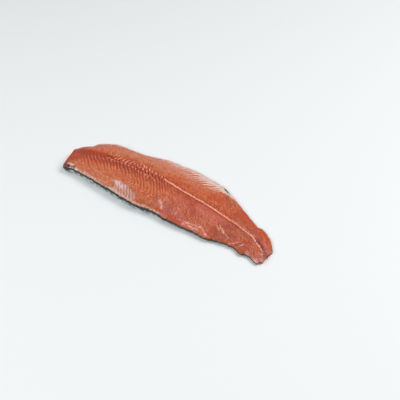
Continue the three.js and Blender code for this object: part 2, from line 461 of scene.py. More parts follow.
BAND_PITCH = 8.7  # length of one band of muscle along the seam
STROKE_PITCH = 7.2
STROKE_LEAN = 0.95  # how far a stroke runs towards the tail for each step towards the back
COMB_PITCH = 12.8
COMB_LEAN = 1.6  # how far a line of the comb runs towards the tail for each step towards the belly
STRIPE_PITCH = 7.8
STRIPE_LEAN = 0.66  # how far a stripe of the scar runs towards the head for each step towards the belly
STRIPE_LEVEL = -50  # where in Y the stripes are counted

# How far a fat line has moved towards the tail, at a distance from the seam.
back_sweep = curve((0, 0), (12, 11), (30, 28), (42, 38), (48, 41), (53, 38), (59, 29), (68, 12))
belly_sweep = curve((0, 0), (10, -8), (25, -18), (40, -22), (55, -12), (70, 8))

# The pale line along the seam, from where the pin bones end to the tail.
SEAM_LINE = [
    (-25, 8), (-19, 4), (-12, 3.6), (-3, 2.8), (9, 0.4), (20, 0), (31, -1.8), (42, -2.2), (54, -3),
    (69, -4.5), (86, -5.4), (101, -7), (116, -9), (133, -11.6), (150, -14), (162, -15), (175, -16.6),
    (184, -19.2), (196, -22), (207, -23.2), (216, -25.2), (223, -29.2), (231, -34.6), (241, -38.8),
    (250, -44.6),
]
UPPER_LINE = [(158, -10.5), (172, -12), (185, -14), (198, -17), (209, -18.5), (217, -20.5)]
BELOW_SEAM = [(-22, 0), (-8, -1.5), (20, -4), (60, -7), (100, -11), (133, -15.5), (162, -19), (184, -23.5)]
BONE_GAP = [
    (-178, 0), (-160, 1), (-133, -1), (-115, 3.5), (-95, 3.5), (-75, 1.5), (-40, 0), (-22, -0.5),
]
UPPER_BONES = [(-168, 11.5), (-120, 13), (-96, 15), (-66, 12), (-45, 9.5), (-30, 7.5)]
MIDDLE_BONES = [(-160, 4), (-136, 5), (-100, 8), (-66, 5)]
LOWER_BONES = [(-174, -5), (-147, -4), (-118, -1.5), (-100, -3), (-76, -6), (-50, -7.5), (-38, -11)]

fin_scar_top = curve(
    (-125, -52), (-117, -52.5), (-108, -50), (-101, -49), (-92, -51), (-82, -51), (-72, -54.5), (-60, -58),
    (-51, -61), (-47, -68),
)
SCAR_LILAC_LINE = [(-110, -52), (-98, -54.5), (-86, -56)]
SCAR_SPOTS = [[(-86, -70), (-81, -71)], [(-68, -73), (-63, -76)], [(-92, -66), (-90, -67)]]
SHELF = [(-140, -61.5), (-117, -60.5)]
SHELF_WIDTH = 13
SHELF_CREASE = [(-114, -54), (-110.5, -59), (-111.5, -65), (-121, -67.6), (-140, -66.5), (-156, -63.5)]

membrane_width = curve(
    (-262, 5), (-245, 8), (-225, 13), (-190, 14), (-150, 9), (-90, 9), (-60, 15), (-25, 16), (0, 17),
    (12, 18), (25, 21), (40, 22), (55, 24), (72, 23), (90, 20), (105, 13), (115, 10), (125, 4),
)
membrane_share = curve(
    (-262, 0.2), (-240, 0.5), (-220, 0.75), (-180, 0.6), (-145, 0.5), (-100, 0.55), (-40, 0.7), (-8, 0.85),
    (20, 1), (100, 1), (116, 0.7), (126, 0),
)
back_fat_width = curve(
    (-262, 2), (-245, 4.5), (-230, 6), (-205, 6.5), (-180, 6), (-150, 6.5), (-125, 7.5), (-108, 6), (-60, 5),
    (-20, 5), (10, 4), (36, 2.5), (240, 2), (250, 3),
)
back_fat_share = curve((-262, 1), (22, 1), (40, 0), (236, 0), (246, 1))

ADIPOSE_LINES = [
    [(60, -66), (80, -64), (100, -61.5), (115, -60), (120, -62), (128, -67), (138, -70)],
    [(75, -69), (92, -67.5), (111, -66.5)],
]
SMEAR = [(4, -51), (11, -55), (17, -60)]
HEAD_TEAR = [(-261, -49), (-254, -54), (-246, -56.5)]
WHITE_TEARS = [
    [(-247, -57), (-238, -55.5), (-230, -55)], [(-236, -62), (-226, -62.5), (-214, -61)],
    [(244, -71.5), (252, -73), (259, -71)],
]
HOLES = [
    [(-234, -59.4), (-225, -57.8)], [(-240, -60.5), (-238, -61.5)], [(91.5, 63.5), (95, 61)],
    [(96, 60.5), (101, 58)],
]
TAIL_DASHES = [
    [(142, -42), (151, -49)], [(148, -40), (160, -49)], [(155, -43), (164, -50)], [(184, -61), (203, -50)],
    [(205, -58), (214, -52)], [(168, -50), (177, -55)], [(252, -52), (263, -43)], [(248, -46), (257, -39)],
]

# ----------------------------------------------------------------------------------- marks on the flesh
# Fields over the flesh, worked out at each corner. Most are masks from 0 to 1. band, comb, strokes, stripes
# and cut_rings are phases, which gain 1 from one line to the next. x and y are the place in plan. from_back
# and from_belly run along the surface from the rim of the skin. from_seam is in plan, less than 0 towards
# the back.


def band_fields(x, y, from_back, from_seam):
    """The fat lines, which slant from the seam towards the tail, and finer strokes where they fade out."""
    towards_back = np.maximum(-from_seam, 0)
    towards_belly = np.maximum(from_seam, 0)
    wander = 0.14 * swells(x, y, 46, 3) + 0.09 * swells(x, y, 15, 4)
    sweep = back_sweep(towards_back) + belly_sweep(towards_belly)
    # The lines fade at both ends of the fillet, at its back edge and in places.
    lines = (1 - 0.9 * smooth(-42, 48, x)) * smooth(-230, -208, x)
    lines = lines * smooth(4, 16, from_back) * (0.8 + 0.3 * swells(x, y, 26, 5))
    lines = lines * mix(mix(0.9, 1, smooth(8, 20, towards_back)), 1, smooth(-140, -110, x))
    # They stay strong up to a distance from the seam on its back side, and are faint beyond it.
    reach = mix(27, 47, smooth(-115, -70, x)) + 4 * swells(x, y, 24, 28)
    lines = lines * (1 - 0.9 * smooth(reach, reach + 12, towards_back))
    beyond_seam = mix(0.5, 0.1, smooth(-50, -20, x)) * (1 - 0.9 * smooth(8, 18, towards_belly))
    lines = lines * mix(1, beyond_seam, smooth(0, 4, towards_belly))

    strokes = (x - STROKE_LEAN * towards_back) / STROKE_PITCH
    strokes = strokes + 0.5 * swells(x, y, 24, 12) + 0.2 * swells(x, y, 9, 13)
    loin = 0.5 * within(16, 66, 14, x) * within(20, 60, 10, towards_back)
    loin = np.maximum(loin, within(66, 122, 8, x) * within(36, 56, 7, towards_back))
    tail = within(136, 186, 8, x) * within(26, 42, 6, towards_back)
    tail = np.maximum(tail, 0.6 * within(180, 252, 12, x) * within(8, 42, 8, towards_back))
    strokes_share = np.maximum(loin, tail) * smooth(3, 10, from_back) * (0.6 + 0.5 * swells(x, y, 18, 14))
    return {
        "band": (x - sweep) / BAND_PITCH + wander,
        "lines": np.clip(lines, 0, 1),
        "strokes": strokes,
        "strokes_share": np.clip(strokes_share, 0, 1),
    }


def belly_edge_fields(x, y, from_belly):
    """The pale membrane along the belly edge, and the comb of lines that it ends in."""
    inwards = from_belly - membrane_width(x)
    comb = (x - COMB_LEAN * y) / COMB_PITCH + 0.16 * swells(x, y, 26, 6) + 0.06 * swells(x, y, 9, 18)
    comb_share = within(-7, 9, 2.5, inwards) * within(-12, 84, 9, x) * (0.85 + 0.25 * swells(x, y, 14, 24))
    comb_share = np.maximum(comb_share, 0.45 * within(-100, -5, 12, x) * within(-5, 5, 3, inwards))
    ragged = 3 * np.cos(math.tau * comb) * comb_share + 1.8 * swells(x, y, 10, 9)
    membrane = (1 - smooth(-2.5, 2.5, inwards - ragged)) * membrane_share(x)
    thin_film = np.maximum(0.3 * within(-20, 30, 16, x), 0.12 * within(-90, -10, 16, x))
    thin_film = thin_film * (1 - smooth(26, 44, from_belly))
    return {"comb": comb, "comb_share": comb_share, "membrane": np.maximum(membrane, thin_film)}


def back_edge_fields(x, y, from_back):
    """The scar where the back fin was, the shelf beside it, and the fat under the skin's rim."""
    shelf = beside(x, y, SHELF, SHELF_WIDTH)
    scar = smooth(-1.2, 1.2, fin_scar_top(x) - y + 0.8 * swells(x, y, 9, 8)) * within(-120, -48, 2.5, x)
    ragged = 1.4 * swells(x, y, 22, 11) + 1.1 * swells(x, y, 6, 26)
    back_fat = 1 - smooth(-1, 1.4, from_back - back_fat_width(x) - ragged)
    back_fat = back_fat * back_fat_share(x) * (0.75 + 0.4 * swells(x, y, 7, 19))
    streak = np.maximum.reduce([
        any_beside(x, y + 0.5 * swells(x, y, 9, 30), ADIPOSE_LINES, 3) * (0.9 + 0.3 * swells(x, y, 12, 20)),
        0.8 * beside(x + swells(x, y, 7, 15), y + swells(x, y, 6, 16), SMEAR, 6),
        0.8 * any_beside(x, y + 0.6 * swells(x, y, 7, 21), TAIL_DASHES, 2.4),
        0.6 * beside(x, y, UPPER_LINE, 2.2),
        beside(x, y, HEAD_TEAR, 2.4),
    ])
    stripes = (x + STRIPE_LEAN * (y - STRIPE_LEVEL)) / STRIPE_PITCH
    torn_x, torn_y = x + 1.2 * swells(x, y, 6, 31), y + 0.9 * swells(x, y, 5, 32)
    return {
        "scar": np.clip(scar * (1 - shelf), 0, 1),
        "lilac": beside(x, y, SCAR_LILAC_LINE, 12),
        "stripes": stripes + 0.16 * swells(x, y, 16, 22),
        "striped": within(-102, -50, 8, x) * (0.75 + 0.35 * swells(x, y, 12, 25)),
        "spots": any_beside(torn_x, torn_y, SCAR_SPOTS, 4),
        "fat": np.clip(back_fat, 0, 1),
        "streak": np.clip(streak, 0, 1),
        "white": 0.8 * any_beside(torn_x, torn_y, WHITE_TEARS, 2.8),
        "crease": 0.75 * beside(x, y, SHELF_CREASE, 2.6),
        "hole": any_beside(torn_x, torn_y, HOLES, 4.8),
    }


# Where the muscle is redder, browner, paler or more purple than most of it, and patches of painted shade. A
# patch has a strength, a width and the stops of a line along it.
PATCHES = {
    "gap": [
        (1, 10, BONE_GAP), (0.4, 9, UPPER_BONES), (0.5, 6, BELOW_SEAM),
        (0.65, 32, [(-234, -14), (-208, -14), (-170, -10)]),
        (0.75, 26, [(-172, -10), (-120, -7), (-88, -8)]), (0.4, 24, [(-96, -8), (-60, -8), (-10, -10)]),
    ],
    "ember": [
        (1, 32, [(-260, -12), (-244, -28)]), (0.4, 30, [(-246, -30), (-250, -46)]),
        (0.9, 38, [(-250, -10), (-208, -14), (-150, -12)]), (0.6, 7, [(-93, -43), (-86, -46)]),
        (0.15, 9, [(-44, -65), (-15, -63), (14, -66)]), (0.4, 22, [(-20, 22), (30, 20), (110, 22)]),
        (0.9, 6, [(4, -65), (16, -66)]), (1, 10, [(26, -66), (46, -69), (72, -70)]),
        (0.75, 15, [(186, -57), (214, -62)]),
    ],
    "mauve": [
        (0.5, 26, [(-222, 22), (-196, 42)]), (0.9, 20, [(208, -50), (236, -62), (250, -66)]),
        (1, 16, [(212, -17), (236, -23), (252, -33)]),
    ],
    # Painted shade: dark purple patches at the head's near corner and near the back edge.
    "painted_shade": [(0.9, 13, [(-252, -58), (-243, -66)]), (0.3, 14, [(22, -52), (34, -56)])],
    "rose": [
        (0.8, 13, [(-240, 5), (-222, 8)]), (0.2, 24, [(-128, -45), (-62, -51)]),
        (0.3, 12, [(-20, -38), (-6, -40)]), (0.45, 22, [(8, -50), (34, -56), (56, -55)]),
        (0.7, 8, [(22, -69), (34, -70)]), (0.45, 9, [(74, -68), (126, -66)]),
        (0.55, 26, [(90, -20), (122, -24), (142, -28)]),
    ],
    "shelf": [
        (1, 20, [(-172, -53), (-140, -58), (-118, -59)]), (0.6, 13, [(-44, -61), (-16, -59), (0, -62)]),
    ],
    "salmon": [
        (0.7, 10, [(147, -45), (158, -48)]), (0.7, 10, [(166, -40), (173, -42)]),
        (0.7, 10, [(156, -58), (169, -60)]),
    ],
    "pale_line": [(1, 2.8, SEAM_LINE)],
}
# Patches with uneven edges.
TORN_PATCHES = {
    "gap": [
        (0.4, 12, [(70, -24), (84, -46)]), (0.4, 10, [(36, -44), (44, -52)]),
        (0.35, 12, [(132, -52), (150, -56)]), (0.45, 9, [(36, -63), (74, -65)]),
        (0.35, 15, [(184, -50), (214, -53)]),
    ],
    # Painted shade: dark purple patches over the tail end and at its near corner.
    "painted_shade": [(0.8, 10, [(232, -30), (248, -39), (262, -47)]), (0.5, 7, [(254, -58), (264, -56)])],
    "rose": [(0.45, 13, [(-228, -51), (-194, -57)])],
    "olive": [
        (0.7, 6, [(-262, -3), (-244, -5), (-226, -12)]), (0.5, 8, [(-240, -14), (-230, -22)]),
        (0.6, 8, [(-246, -42), (-228, -43)]), (0.65, 8, [(196, -60), (224, -65)]),
        (0.4, 6, [(-40, -65), (0, -67), (34, -68), (66, -71)]), (0.5, 10, [(112, 38), (134, 26)]),
    ],
    "shelf": [(0.5, 22, [(-156, -37), (-110, -42), (-70, -46)])],
    "pale_end": [(0.9, 11, [(226, -66), (244, -70), (260, -68)])],
}


def tint_fields(x, y, from_belly, from_seam):
    """A field for each tint, painted shade among them. At every place it is the strongest of the tint's
    patches and areas.
    """
    towards_back = np.maximum(-from_seam, 0)
    towards_belly = np.maximum(from_seam, 0)
    torn_x, torn_y = x + 3 * swells(x, y, 12, 33), y + 2.4 * swells(x, y, 9, 34)
    loin = smooth(-14, -4, -from_seam) * (1 - smooth(8, 36, -from_seam))
    areas = {
        "gap": [
            0.5 * within(155, 215, 10, x) * within(3, 6, 2, from_seam),
            0.4 * (1 - smooth(-260, -240, x)),
        ],
        "loin_red": [loin * within(-250, 150, 18, x) * mix(1, 0.65, smooth(-40, 10, x))],
        "ember": [
            within(150, 200, 16, x) * (1 - smooth(8, 22, from_belly)),
            within(200, 250, 14, x) * within(3, 12, 5, from_belly),
            0.5 * within(150, 212, 16, x) * smooth(10, 20, towards_belly),
            0.2 * within(120, 190, 16, x) * within(4, 14, 5, towards_belly),
            0.8 * within(186, 262, 10, x) * smooth(8, 18, towards_back) * np.clip(swells(x, y, 15, 36), 0, 1),
        ],
        "mauve": [0.8 * within(30, 205, 30, x) * within(3, 40, 9, towards_back)],
        "rose": [0.4 * within(-200, 40, 24, x) * smooth(24, 44, towards_belly)],
        "wisps": [
            within(8, 62, 8, x) * within(38, 60, 6, towards_back),
            0.42 * within(4, 132, 14, x) * smooth(14, 26, towards_back),
            0.55 * within(176, 262, 10, x) * smooth(10, 20, towards_back),
        ],
        # Darker brown over the tail and towards the back edge; at the head end it is painted shade.
        "dusk": [
            within(150, 234, 16, x) * smooth(10, 20, from_belly),
            1.5 * within(140, 188, 12, x) * smooth(4, 16, towards_back),
            0.9 * within(-10, 120, 20, x) * smooth(26, 50, towards_back),
            1 - smooth(-252, -232, x),
        ],
        "hem": [(1 - smooth(6, 9.5, from_belly + 1.2 * swells(x, y, 14, 27))) * within(-250, 126, 8, x)],
        "tan": [within(-236, 84, 22, x) * smooth(13, 30, towards_belly)],
        "shelf": [0.6 * within(-236, -110, 14, x) * smooth(24, 40, towards_back)],
        "pale_end": [smooth(240, 266, x) * (1 - 0.8 * smooth(-44, -30, y))],
    }
    fields = {}
    for name in {**areas, **PATCHES, **TORN_PATCHES}:
        patches = patch_fields(x, y, PATCHES.get(name, []))
        torn_patches = patch_fields(torn_x, torn_y, TORN_PATCHES.get(name, []))
        fields[name] = np.max(areas.get(name, []) + patches + torn_patches, axis=0)
    return fields


# ------------------------------------------------------------------------------------------ the flesh

FLESH_COLUMNS = 490
TOP_ROWS = 146
EDGE_ROWS = 5  # round each edge, from the rim of the skin up to the top
UNDER_ROWS = 7  # round each curl, from the rim of the skin down to the flat underside
CAP_ROWS = 7
SHARP_ANGLE = math.radians(50)

# The rings of muscle on the cut ends, which are wider than they are high.
RING_PITCH = 4.5
RING_CENTRE_Y = -34
RING_CENTRE_Z = 8
RING_SQUASH = 1.6


def flesh_rings(along):
    """Corners of each ring, from the back rim over the top to the belly rim and back under the flesh."""
    top = []
    for across in np.linspace(0, 1, TOP_ROWS):
        across = np.full(along.shape, across)
        x, y, share = in_plan(along, across, BACK.cut, BELLY.cut)
        top.append(np.stack([x, y, top_height(share, across)], -1))
    under_shares = np.linspace(0, 1, UNDER_ROWS)
    back_curl = [curl_point(along, BACK, share, 0) for share in under_shares]
    belly_curl = [curl_point(along, BELLY, share, 0) for share in under_shares]
    upwards = np.linspace(0, 1, EDGE_ROWS + 1)[1:-1]
    downwards = np.linspace(1, 0, EDGE_ROWS + 1)[1:-1]
    ring = [back_curl[0]] + [rounded(back_curl[0], top[0], share) for share in upwards]
    ring += top + [rounded(belly_curl[0], top[-1], share) for share in downwards]
    ring += belly_curl + back_curl[:0:-1]
    return np.stack(ring, 1)


def rounded(rim, top, share):
    """A point on the quarter of an ellipse that rises from the rim and levels out at the top."""
    turn = share * math.pi / 2
    flat = mix(rim, top, 1 - math.cos(turn))
    height = mix(rim, top, math.sin(turn))
    return np.stack([flat[:, 0], flat[:, 1], height[:, 2]], -1)


def end_rings(y, z):
    """The phase of the rings of muscle on a cut end."""
    return np.hypot(y - RING_CENTRE_Y, RING_SQUASH * (z - RING_CENTRE_Z)) / RING_PITCH


def make_flesh(material):
    along = np.linspace(0, 1, FLESH_COLUMNS)
    rings = flesh_rings(along)
    rows = rings.shape[1]
    over = rows - 2 * (UNDER_ROWS - 1)  # corners from rim to rim over the top
    from_back = lengths_along(rings[:, :over])
    on_top = (from_back, from_back[:, -1:] - from_back, np.ones(from_back.shape))
    under = ((0, 0), (0, rows - over))
    from_back, from_belly, open_side = (np.pad(values, under).ravel() for values in on_top)
    corners = rings.reshape(-1, 3)
    x, y, z = corners.T
    from_seam = y - SHIFT - seam(x / LENGTH + 0.5) * WIDTH
    fields = {
        **band_fields(x, y, from_back, from_seam),
        **belly_edge_fields(x, y, from_belly),
        **back_edge_fields(x, y, from_back),
        **tint_fields(x, y, from_belly, from_seam),
    }
    # The relief fades out before the rims and the cut ends.
    from_end = np.repeat(np.minimum(along, 1 - along) * LENGTH, rows)
    fields["carved"] = open_side * smooth(1, 5, from_back) * smooth(1, 5, from_belly) * smooth(0, 4, from_end)
    fields["cut_end"] = np.zeros(len(corners))
    fields["cut_rings"] = end_rings(y, z) + 0.2 * swells(x, y, 9, 17)
    faces = tube_faces(FLESH_COLUMNS, rows).tolist()
    corners, faces, fields = close_ends(corners, faces, fields, rows, over)
    flesh = make_mesh("flesh_muscle", corners, faces, fields)
    flesh.data.set_sharp_from_angle(angle=SHARP_ANGLE)
    return run_tree(flesh, muscle_tree(), {"Material": material})


def close_ends(corners, faces, fields, rows, over):
    """Adds the cut faces of the head and tail ends, each a grid that is joined to its end ring."""
    for start, facing in ((0, -1), ((FLESH_COLUMNS - 1) * rows, 1)):
        upper = list(range(start, start + over))
        lower = [start, *range(start + rows - 1, start + over - 2, -1)]
        under_y = np.maximum.accumulate(corners[lower, 1])
        under_height = np.interp(corners[upper, 1], under_y, corners[lower, 2])
        row_above = upper
        for step in range(1, CAP_ROWS):
            inner = corners[upper[1:-1]]
            inner[:, 2] = mix(inner[:, 2], under_height[1:-1], step / CAP_ROWS)
            row = [upper[0], *range(len(corners), len(corners) + len(inner)), upper[-1]]
            corners = np.vstack([corners, inner])
            on_the_cut = {
                "carved": np.zeros(len(inner)),
                "cut_end": np.ones(len(inner)),
                "cut_rings": end_rings(inner[:, 1], inner[:, 2]),
            }
            for name, values in fields.items():
                fields[name] = np.concatenate([values, on_the_cut.get(name, values[upper[1:-1]])])
            faces += oriented(strip_faces(row_above, row), facing)
            row_above = row
        last_row = zip_faces(row_above, lower, corners[:, 1])
        faces += oriented([face for face in last_row if len(set(face)) == 3], facing)
    return corners, faces, fields


def oriented(faces, facing):
    return [face if facing > 0 else face[::-1] for face in faces]


def muscle_tree():
    """Carves the flesh between its fat lines, and adds low lumps and grain."""
    sizes = {
        "Furrow Depth": 0.4, "Furrow Width": 0.8, "Comb Depth": 0.8, "Stroke Depth": 0.3, "Stripe Depth": 0.4,
        "Gap Depth": 1.1, "Scar Depth": 1.3, "Crease Depth": 1.0, "Hole Depth": 1.6,
        "Lump Height": 0.7, "Lump Size": 30.0, "Grain Height": 0.2, "Grain Size": 3.0,
    }
    graph, given, ending = geometry_tree("muscle relief", sizes)
    place = graph.scaled(graph.add("GeometryNodeInputPosition").outputs[0], 1 / MM)

    def furrow(phase_name, share_name, depth):
        """A furrow half way between each line and the next."""
        phase = graph.math("FRACT", read_field(graph, phase_name))
        to_middle = graph.math("ABSOLUTE", graph.math("SUBTRACT", phase, 0.5))
        half = graph.times(given["Furrow Width"], 0.5)
        return graph.times(graph.fade(to_middle, half, 0.0), read_field(graph, share_name), given[depth])

    def hollow(name, depth):
        return graph.times(read_field(graph, name), given[depth])

    def rough(size, height, detail):
        swell = graph.noise(place, graph.math("DIVIDE", 1.0, given[size]), detail=detail)
        return graph.times(swell, given[height])

    depth = graph.plus(
        furrow("band", "lines", "Furrow Depth"),
        furrow("comb", "comb_share", "Comb Depth"),
        furrow("strokes", "strokes_share", "Stroke Depth"),
        furrow("stripes", "scar", "Stripe Depth"),
        hollow("gap", "Gap Depth"),
        hollow("scar", "Scar Depth"),
        hollow("crease", "Crease Depth"),
        hollow("hole", "Hole Depth"),
        rough("Lump Size", "Lump Height", 1.0),
        rough("Grain Size", "Grain Height", 2.0),
    )
    depth = graph.times(depth, read_field(graph, "carved"), -MM)
    offset = graph.scaled(graph.add("GeometryNodeInputNormal").outputs[0], depth)
    moved = graph.add("GeometryNodeSetPosition", {"Geometry": given["Geometry"], "Offset": offset})
    end_tree(graph, given, ending, moved.outputs[0])
    return graph.tree


# ------------------------------------------------------------------------------------- paint and film


def linear(*channels):
    """A colour as it looks, from 0 to 255, in the linear light that shaders work in."""
    return tuple(((c / 255 + 0.055) / 1.055) ** 2.4 if c > 10 else c / 255 / 12.92 for c in channels)


MUSCLE = linear(196, 90, 48)
MUSCLE_DEEP = linear(150, 46, 24)
MUSCLE_PALE = linear(216, 122, 76)
LOIN_RED = linear(168, 54, 26)
TAN = linear(216, 133, 90)
SHELF_TAN = linear(212, 140, 102)
SALMON = linear(218, 118, 88)
EMBER = linear(196, 62, 16)
MAUVE = linear(190, 96, 82)
ROSE = linear(214, 118, 102)
# Darker brown, which at the head end is painted shade.
BROWN_AND_SHADE = linear(136, 62, 46)
OLIVE = linear(140, 76, 28)
# Dark purple of the painted shade patches.
PAINTED_SHADE = linear(92, 42, 54)
FLECK = linear(240, 158, 118)
FAT_LINE = linear(235, 146, 110)
WISP = linear(228, 150, 134)
STREAK = linear(246, 178, 158)
CREAM = linear(226, 202, 182)
WHITE_FAT = linear(238, 222, 206)
PALE_END = linear(214, 172, 160)
MEMBRANE = linear(230, 206, 192)
MEMBRANE_LILAC = linear(206, 184, 192)
HEM = linear(238, 200, 178)
COMB = linear(255, 204, 178)
COMB_GAP = linear(172, 74, 40)
SCAR = linear(202, 146, 130)
SCAR_LILAC = linear(230, 190, 184)
SCAR_STRIPE = linear(142, 88, 84)
SCAR_SPOT = linear(226, 110, 104)
SEAM_PINK = linear(238, 152, 124)
BONE = linear(238, 162, 132)
BONE_DEEP = linear(214, 118, 90)
SINEW = linear(253, 192, 170)
SINEW_DEEP = linear(240, 156, 130)
CHAR = linear(26, 32, 33)
SLATE = linear(66, 80, 84)
TEAL_SKIN = linear(46, 66, 68)
TAIL_SKIN = linear(58, 54, 40)
SILVER = linear(218, 227, 232)
WHITE_BELLY = linear(222, 224, 222)
FLOOR_WHITE = linear(244, 246, 246)


def millimetres(graph):
    """The place on the fillet, in millimetres."""
    return graph.scaled(graph.add("ShaderNodeTexCoord").outputs["Object"], 1 / MM)


def wet_film_group():
    """Roughness that changes between wetter and drier patches, and the height of its fine ripples."""
    inputs = {"Wet": 0.25, "Dry": 0.5, "Patch Scale": 0.05, "Ripple Scale": 0.4}
    outputs = {"Roughness": "NodeSocketFloat", "Height": "NodeSocketFloat"}
    graph, given, ending = new_tree("wet film", "ShaderNodeTree", inputs, outputs)
    place = millimetres(graph)
    patches = graph.fade(graph.noise(place, given["Patch Scale"], detail=3.0), 0.35, 0.65)
    dryness = graph.times(patches, graph.math("SUBTRACT", given["Dry"], given["Wet"]))
    graph.feed(ending.inputs["Roughness"], graph.plus(given["Wet"], dryness))
    graph.feed(ending.inputs["Height"], graph.noise(place, given["Ripple Scale"], detail=3.0, roughness=0.6))
    return graph.tree


def mottle_group():
    """Moves a colour a little towards a second one, in soft patches."""
    inputs = {"Colour": (0.5, 0.5, 0.5), "Patch Colour": (0.5, 0.5, 0.5), "Scale": 0.1, "Amount": 0.5}
    graph, given, ending = new_tree("mottle", "ShaderNodeTree", inputs, {"Colour": "NodeSocketColor"})
    noise = graph.noise(millimetres(graph), given["Scale"], detail=4.0, roughness=0.6)
    share = graph.times(graph.fade(noise, 0.38, 0.66), given["Amount"])
    graph.feed(ending.inputs["Colour"], graph.colour(share, given["Colour"], given["Patch Colour"]))
    return graph.tree


WET_FILM = wet_film_group()
MOTTLE = mottle_group()


def mottled(graph, colour, patch_colour, scale, amount):
    inputs = {"Colour": colour, "Patch Colour": patch_colour, "Scale": scale, "Amount": amount}
    return graph.add("ShaderNodeGroup", node_tree=MOTTLE, inputs=inputs).outputs["Colour"]


def add_film(graph, shader, wet, dry, patch_scale, ripple_scale):
    """Gives the shader the roughness of a wet film, and returns the height of the film's ripples."""
    inputs = {"Wet": wet, "Dry": dry, "Patch Scale": patch_scale, "Ripple Scale": ripple_scale}
    film = graph.add("ShaderNodeGroup", node_tree=WET_FILM, inputs=inputs).outputs
    graph.feed(shader.inputs["Roughness"], film["Roughness"])
    return film["Height"]


def add_bump(graph, shader, height, strength, distance):
    bump = graph.add("ShaderNodeBump", {"Height": height, "Strength": strength, "Distance": distance * MM})
    graph.feed(shader.inputs["Normal"], bump.outputs[0])


def new_material(name, constants):
    """A material whose shader starts with some constants."""
    material = bpy.data.materials.new(name)
    material.use_nodes = True
    material.node_tree.nodes.clear()
    graph = Graph(material.node_tree)
    shader = graph.add("ShaderNodeBsdfPrincipled", constants)
    graph.add("ShaderNodeOutputMaterial", {"Surface": shader.outputs[0]})
    return material, graph, shader


def pulse(graph, phase, width):
    """1 where the phase is a whole number, fading to 0 at half the width before and after it."""
    share = graph.math("FRACT", phase)
    to_middle = graph.math("ABSOLUTE", graph.math("SUBTRACT", share, 0.5))
    return graph.fade(to_middle, 0.5 - width / 2, 0.5 - width / 8)


class Paint:
    """Lays one colour over another."""

    def __init__(self, graph, colour):
        self.graph = graph
        self.colour = colour

    def over(self, share, colour):
        self.colour = self.graph.colour(share, self.colour, colour)

    def mark(self, name, strength, colour):
        """Covers the places where a mask of the mesh says so."""
        self.over(self.graph.times(read_mask(self.graph, name), strength), colour)

    def lines(self, phase, share, dark, light, widths=(0.95, 0.65)):
        """Darkens half way between the lines of a phase, and lightens the lines. dark and light are a colour
        and its strength."""
        between = pulse(self.graph, self.graph.plus(phase, 0.5), widths[0])
        self.over(self.graph.times(between, share, dark[1]), dark[0])
        self.over(self.graph.times(pulse(self.graph, phase, widths[1]), share, light[1]), light[0])


# --------------------------------------------------------------------------------- the flesh's materials

# Light soaks into wet flesh, and a thin film of water lies on it.
WET_FLESH = {
    "IOR": 1.33, "Subsurface Weight": 0.12, "Subsurface Radius": (1.0, 0.35, 0.2),
    "Subsurface Scale": 1.5 * MM, "Coat Weight": 0.06, "Coat Roughness": 0.15,
}


def streaks(graph, place, turn, length, width):
    """Noise drawn out into streaks that are turned from the fillet's length by an angle in degrees."""
    settings = {"Vector": place, "Rotation": (0, 0, math.radians(turn)), "Scale": (length, width, width)}
    drawn_out = graph.add("ShaderNodeMapping", settings, vector_type="TEXTURE").outputs[0]
    return graph.noise(drawn_out, 1.0, detail=3.0, roughness=0.6)


def flesh_colour(graph, place):
    """Colour of the flesh, laid on from the muscle outwards."""
    ragged = graph.times(graph.math("SUBTRACT", graph.noise(place, 0.35, detail=2.0), 0.5), 0.6)

    def ragged_phase(name):
        return graph.plus(read_mask(graph, name), ragged)

    paint = muscle_paint(graph, place)
    add_flecks(paint, graph, place)
    add_fat_lines(paint, graph, place, ragged_phase)
    add_belly_edge(paint, graph, ragged_phase)
    add_back_edge(paint, graph, place, ragged_phase)
    add_ends(paint, graph, ragged_phase)
    return paint.colour


def muscle_paint(graph, place):
    """The muscle, streaked along its fibres, and its tints."""
    paint = Paint(graph, mottled(graph, MUSCLE, MUSCLE_PALE, 0.05, 0.5))
    paint.mark("tan", 0.85, mottled(graph, TAN, MUSCLE_PALE, 0.04, 0.6))
    paint.mark("mauve", 0.8, MAUVE)
    paint.colour = mottled(graph, paint.colour, MUSCLE_DEEP, 0.13, 0.5)
    paint.over(graph.fade(streaks(graph, place, -47, 16.0, 3.4), 0.5, 0.68, 0.0, 0.5), FAT_LINE)
    paint.over(graph.fade(streaks(graph, place, -40, 13.0, 3.8), 0.48, 0.3, 0.0, 0.4), MUSCLE_DEEP)
    paint.mark("salmon", 0.7, SALMON)
    paint.mark("loin_red", 0.65, LOIN_RED)
    # Darker brown over the tail and towards the back edge, and painted shade at the head end.
    paint.mark("dusk", 0.35, BROWN_AND_SHADE)
    paint.mark("ember", 0.85, mottled(graph, EMBER, MUSCLE, 0.15, 0.5))
    paint.mark("rose", 0.8, mottled(graph, ROSE, MAUVE, 0.12, 0.5))
    paint.mark("shelf", 0.6, mottled(graph, SHELF_TAN, MUSCLE, 0.17, 0.9))
    paint.mark("gap", 0.9, MUSCLE_DEEP)
    paint.mark("olive", 0.8, OLIVE)
    return paint


def add_flecks(paint, graph, place):
    """Fine dark and light flecks, fewer where the muscle is smoother."""
    fine = graph.noise(place, 0.28, detail=3.0, roughness=0.7)
    smoother = read_mask(graph, "gap")
    for name, strength in (("tan", 0.55), ("ember", 0.7), ("mauve", 0.5)):
        smoother = graph.plus(smoother, graph.times(read_mask(graph, name), strength))
    flecked = graph.math("SUBTRACT", 1.0, smoother, clamp=True)
    paint.over(graph.times(graph.fade(fine, 0.48, 0.32), flecked, 0.42), MUSCLE_DEEP)
    paint.over(graph.times(graph.fade(fine, 0.52, 0.68), flecked, 0.7), FLECK)


